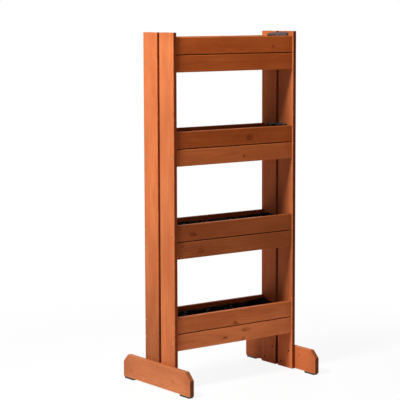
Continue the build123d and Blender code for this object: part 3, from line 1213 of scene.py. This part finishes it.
# %% Model the screws
def model_screw(total):
    """A countersunk wood screw along Z, its head at the origin and its point below."""
    select_only()
    cone = {"radius1": SHANK_RADIUS, "radius2": HEAD_RADIUS, "depth": HEAD_DEPTH}
    bpy.ops.mesh.primitive_cone_add(vertices=HEAD_SIDES, **cone)
    screw = bpy.context.object
    screw.data.transform(Matrix.Translation((0, 0, -HEAD_DEPTH / 2)))
    select_faces(screw, looks_down)
    grow(SHANK_SHARE * total, 1.0)
    threaded = (1 - SHANK_SHARE) * total - HEAD_DEPTH - POINT_LENGTH
    for _ in range(int(threaded / THREAD_PITCH)):
        grow(FLANK_SHARE * THREAD_PITCH, THREAD_RADIUS / SHANK_RADIUS)
        grow(FLANK_SHARE * THREAD_PITCH, SHANK_RADIUS / THREAD_RADIUS)
        grow(GROOVE_SHARE * THREAD_PITCH, 1.0)
    grow(POINT_LENGTH, POINT_SCALE)
    bpy.ops.object.mode_set(mode="OBJECT")
    cut_recess(screw)
    bpy.ops.object.shade_smooth_by_angle(angle=SMOOTH_BELOW)
    return screw


long_screw = model_screw(TROUGH_SCREW)
short_screw = model_screw(FOOT_SCREW)
print("screw faces:", len(long_screw.data.polygons), len(short_screw.data.polygons))

# %% [markdown]
# ## Driving the screws
# A trough board has one screw in the middle of each end, through the upright. A foot is held by two screws
# from the inner face of each upright, set slantwise so that the wood doesn't split. The CAD screws could be
# copied for their places, but the boards say the same, so the screws follow the boards. Each stops at its
# own turn.

# %% Drive the screws of the troughs
LAYERS = ("upper", "lower")
HEAD_SINK = 0.15 * MM


def drive(screw, point, into, chance):
    """A copy of a screw in its hole, turned by chance about its own axis."""
    spin = Matrix.Rotation(chance.uniform(0, math.pi), 4, "Z")
    aim = (-into).to_track_quat("Z", "Y").to_matrix().to_4x4()
    return copy_to(screw, Matrix.Translation(point + into * HEAD_SINK) @ aim @ spin)


chance = random.Random("screws")
driven = []
for tier, row, layer, side in product(TIERS, ROWS, LAYERS, SIDES):
    low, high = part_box(f"{tier}_trough_{row}_{layer}_board")
    middle = (low + high) / 2
    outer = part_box(f"{side}_{row}_upright")[0 if side == "left" else 1].x
    point = Vector((outer, middle.y, middle.z))
    driven.append(drive(long_screw, point, Vector((-SIDES[side], 0, 0)), chance))
trough_screws = join(driven, "trough_screws_driven")
bpy.data.objects.remove(long_screw)
print(len(driven), "screws in the troughs,", len(trough_screws.data.polygons), "faces")

# %% Drive the screws of the feet
FOOT_SCREW_SPREAD = 44 * MM
driven = []
for side, row, step in product(SIDES, ROWS, (-0.5, 0.5)):
    foot_low, foot_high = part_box(f"{side}_foot")
    low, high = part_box(f"{side}_{row}_upright")
    inner = high.x if side == "left" else low.x
    spread = step * FOOT_SCREW_SPREAD
    point = Vector((inner, (low.y + high.y) / 2 + spread, (foot_low.z + foot_high.z) / 2 - spread))
    driven.append(drive(short_screw, point, Vector((SIDES[side], 0, 0)), chance))
foot_screws = join(driven, "foot_screws_driven")
bpy.data.objects.remove(short_screw)
print(len(driven), "screws in the feet,", len(foot_screws.data.polygons), "faces")

# %% [markdown]
# ## Screw and wire metal
# The screws in the troughs are zinc plated with a yellow bloom. Those in the feet look dark, so they get a
# dark steel: painted shade on heads that sit in shadow. Staples and brads are plain steel wire. One even
# colour would do for their size, but what counts on small metal is how light breaks on it. So each has two
# tones and a roughness that isn't even.

# %% Metal finishes
PATINA_SCALE = (420.0, 420.0, 420.0)
PATINA_RANGE = (0.35, 0.7)
PATINA_ROUGHNESS = 0.2


def small_metal(name, colour, worn, rough):
    """Dull plated metal: two tones and an uneven shine."""
    material, tree, shader = new_material(name)
    place = put(tree, "TexCoord").outputs["Object"]
    patina = ease(tree, cloud(tree, place, PATINA_SCALE, detail=4.0, roughness=0.6)[0], *PATINA_RANGE)
    surface = {
        "Base Color": tint(tree, patina, colour, worn),
        "Roughness": calc(tree, "MULTIPLY_ADD", patina, PATINA_ROUGHNESS, rough),
        "Metallic": 1.0,
    }
    fill(tree, shader.inputs, surface)
    return material


zinc = small_metal("yellow_zinc", paint(222, 164, 112), paint(166, 112, 72), rough=0.42)
# dark steel: painted shade on heads that sit in shadow
dark_steel_painted_shade = small_metal("dark_steel_painted_shade", paint(52, 38, 32), paint(30, 24, 22), rough=0.5)
wire = small_metal("steel_wire", paint(170, 170, 172), paint(112, 110, 108), rough=0.3)
print("metals:", zinc.name, dark_steel_painted_shade.name, wire.name)

# %% [markdown]
# ## Glides
# The glides under the feet are black plastic with the fine grain of a mould, scuffed pale where they meet
# the floor. Scuffs could be modelled as dents, but they are too shallow to see as shape. So a noise that is
# long across the floor and thin in height draws them, and only near the floor.

# %% Glide plastic
GLIDE_BLACK = paint(12, 11, 11)
GLIDE_SCUFFED = paint(64, 60, 57)
GLIDE_ROUGHNESS = 0.48
GLIDE_GRAIN_SCALE = (900.0, 900.0, 900.0)
GLIDE_GRAIN_BUMP = {"Strength": 0.4, "Distance": 0.15 * MM}
SCUFF_SCALE = (160.0, 60.0, 500.0)
SCUFF_RANGE = (0.45, 0.7)
SCUFF_HEIGHT = 3.5 * MM
SCUFF_ROUGHNESS = 0.25
glide_plastic, tree, shader = new_material("glide_plastic")
place = put(tree, "TexCoord").outputs["Object"]
low_down = ease(tree, split(tree, place)[2], 0.0, SCUFF_HEIGHT, 1.0, 0.0)
scuffs = ease(tree, cloud(tree, place, SCUFF_SCALE, detail=4.0, roughness=0.65)[0], *SCUFF_RANGE)
scuffs = calc(tree, "MULTIPLY", scuffs, low_down)
grain = cloud(tree, place, GLIDE_GRAIN_SCALE, detail=2.0)[0]
surface = {
    "Base Color": tint(tree, scuffs, GLIDE_BLACK, GLIDE_SCUFFED),
    "Roughness": calc(tree, "MULTIPLY_ADD", scuffs, SCUFF_ROUGHNESS, GLIDE_ROUGHNESS),
    "Normal": put(tree, "Bump", {**GLIDE_GRAIN_BUMP, "Height": grain}).outputs[0],
}
fill(tree, shader.inputs, surface)
print(f"glide plastic: {len(tree.nodes)} nodes")

# %% Finish the small pieces
for piece, node, plating in (
    (trough_screws, "trough_screws", zinc),
    (foot_screws, "foot_screws", dark_steel_painted_shade),
):
    piece.data.materials.append(plating)
    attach(piece, "root")
    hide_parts(node)
for piece in staples.values():
    piece.data.materials.append(wire)
    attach(piece, "root")
for name in cad_nodes:
    if name.endswith("_glide"):
        finish_node(name, glide_plastic)
    if name.endswith("_brads"):
        finish_node(name, wire)
print("metal and plastic done")

# %% [markdown]
# ## The CAD liners' boxes
# Film comes off a roll. Each liner was cut as one flat rectangle: the trough's floor with a wall folded up
# on each side. Whoever uses the planter can lay that sheet anew. Its flat size could be measured on the
# creased film, but that was made too large on purpose. Here only the box of each CAD liner is read.

for tier, film in films.items():
    low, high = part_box(f"{tier}_trough_liner")

# %% [markdown]
# ## Floor and light
# The planter stands on a white sweep. Its picture shows a white ground, so the floor and the world look
# white to the camera and in reflections. The world sends less than a fifth of that on to the boards:
# otherwise the fronts would be as bright as the sides. Close to the planter the floor keeps a little of its
# own shading, and with it the shadow.

# %% What looks white
def seen_directly(tree):
    """One for rays from the camera, from shiny surfaces and through clear ones, and none for other rays."""
    path = put(tree, "LightPath").outputs
    shiny = calc(tree, "MAXIMUM", path["Is Glossy Ray"], path["Is Transmission Ray"])
    return calc(tree, "MAXIMUM", path["Is Camera Ray"], shiny)


print("white for the camera ready")

# %% Floor
FLOOR_SIDE = 60.0
WHITE = (1.0, 1.0, 1.0, 1.0)
CARD_NEAR = (0.85, 0.85, 0.85, 1.0)
CARD_FAR = (0.6, 0.6, 0.6, 1.0)
CARD_FADE = (0.3, 1.6)
SHADOW_FADE = (0.55, 1.7)
WHITE_NEAR = 0.9
select_only()
bpy.ops.mesh.primitive_plane_add(size=FLOOR_SIDE)
floor = bpy.context.object
floor.name = "studio_floor"
floor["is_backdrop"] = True
material, tree, shader = new_material("white_sweep")
ground = vector(tree, "MULTIPLY", put(tree, "TexCoord").outputs["Object"], (1.0, 1.0, 0.0))
reach = length(tree, ground)
card = tint(tree, ease(tree, reach, *CARD_FADE), CARD_NEAR, CARD_FAR)
fill(tree, shader.inputs, {"Base Color": card, "Roughness": 1.0, "Specular IOR Level": 0.0})
white = put(tree, "Emission", (WHITE, 1.0)).outputs[0]
share = calc(tree, "MULTIPLY", seen_directly(tree), ease(tree, reach, *SHADOW_FADE, WHITE_NEAR, 1.0))
both = put(tree, "MixShader", (share, shader.outputs[0], white)).outputs[0]
plug(tree, tree.nodes["Material Output"].inputs[0], both)
floor.data.materials.append(material)
print(f"floor {FLOOR_SIDE:.0f} m square")

# %% World
SKY_LEVEL = 0.18
world = bpy.data.worlds.new("white_room")
scene.world = world
world.use_nodes = True
tree = world.node_tree
level = calc(tree, "MULTIPLY_ADD", seen_directly(tree), 1.0 - SKY_LEVEL, SKY_LEVEL)
fill(tree, tree.nodes["Background"].inputs, {"Color": WHITE, "Strength": level})
print(f"sky at {SKY_LEVEL} of white")

# %% [markdown]
# ## Lamps
# One lamp stands high on the left, as in the photograph, where left faces are bright and fronts stay deep.
# Alone it would leave the back in the dark. A stronger world would light the back too, but it would also
# wash out the fronts. So a weaker, larger lamp behind on the right lights what the photograph doesn't show.
# It gives no glints, or every top edge would mirror it.

# %% Lamps
LAMP_DISTANCE = 3.0
LAMP_FROM = Vector((-0.71, -0.125, 0.69))
LAMP_LEVEL = 1.36
LAMP_SIDE = 0.68
FILL_FROM = Vector((0.7, 0.68, 0.16))
FILL_LEVEL = 0.66
FILL_SIDE = 1.6


def add_lamp(name, place_from, level, side, glints):
    """A square soft lamp in this direction, aimed at the planter's middle, which it lights to this level."""
    data = bpy.data.lights.new(name, "AREA")
    data.size = side
    data.energy = level * (math.pi * LAMP_DISTANCE) ** 2
    lamp = bpy.data.objects.new(name, data)
    lamp.visible_glossy = glints
    direction = place_from.normalized()
    lamp.location = (cad_low + cad_high) / 2 + direction * LAMP_DISTANCE
    lamp.rotation_euler = direction.to_track_quat("Z", "Y").to_euler()
    scene.collection.objects.link(lamp)
    print(f"{name}: {data.energy:.0f} W, {side} m square")


add_lamp("soft_lamp", LAMP_FROM, LAMP_LEVEL, LAMP_SIDE, glints=True)
add_lamp("fill_lamp", FILL_FROM, FILL_LEVEL, FILL_SIDE, glints=False)

# %% Print how far the model grew
low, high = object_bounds()
print("grown by", [round(value / MM, 2) for value in (high - low) - (cad_high - cad_low)], "mm")
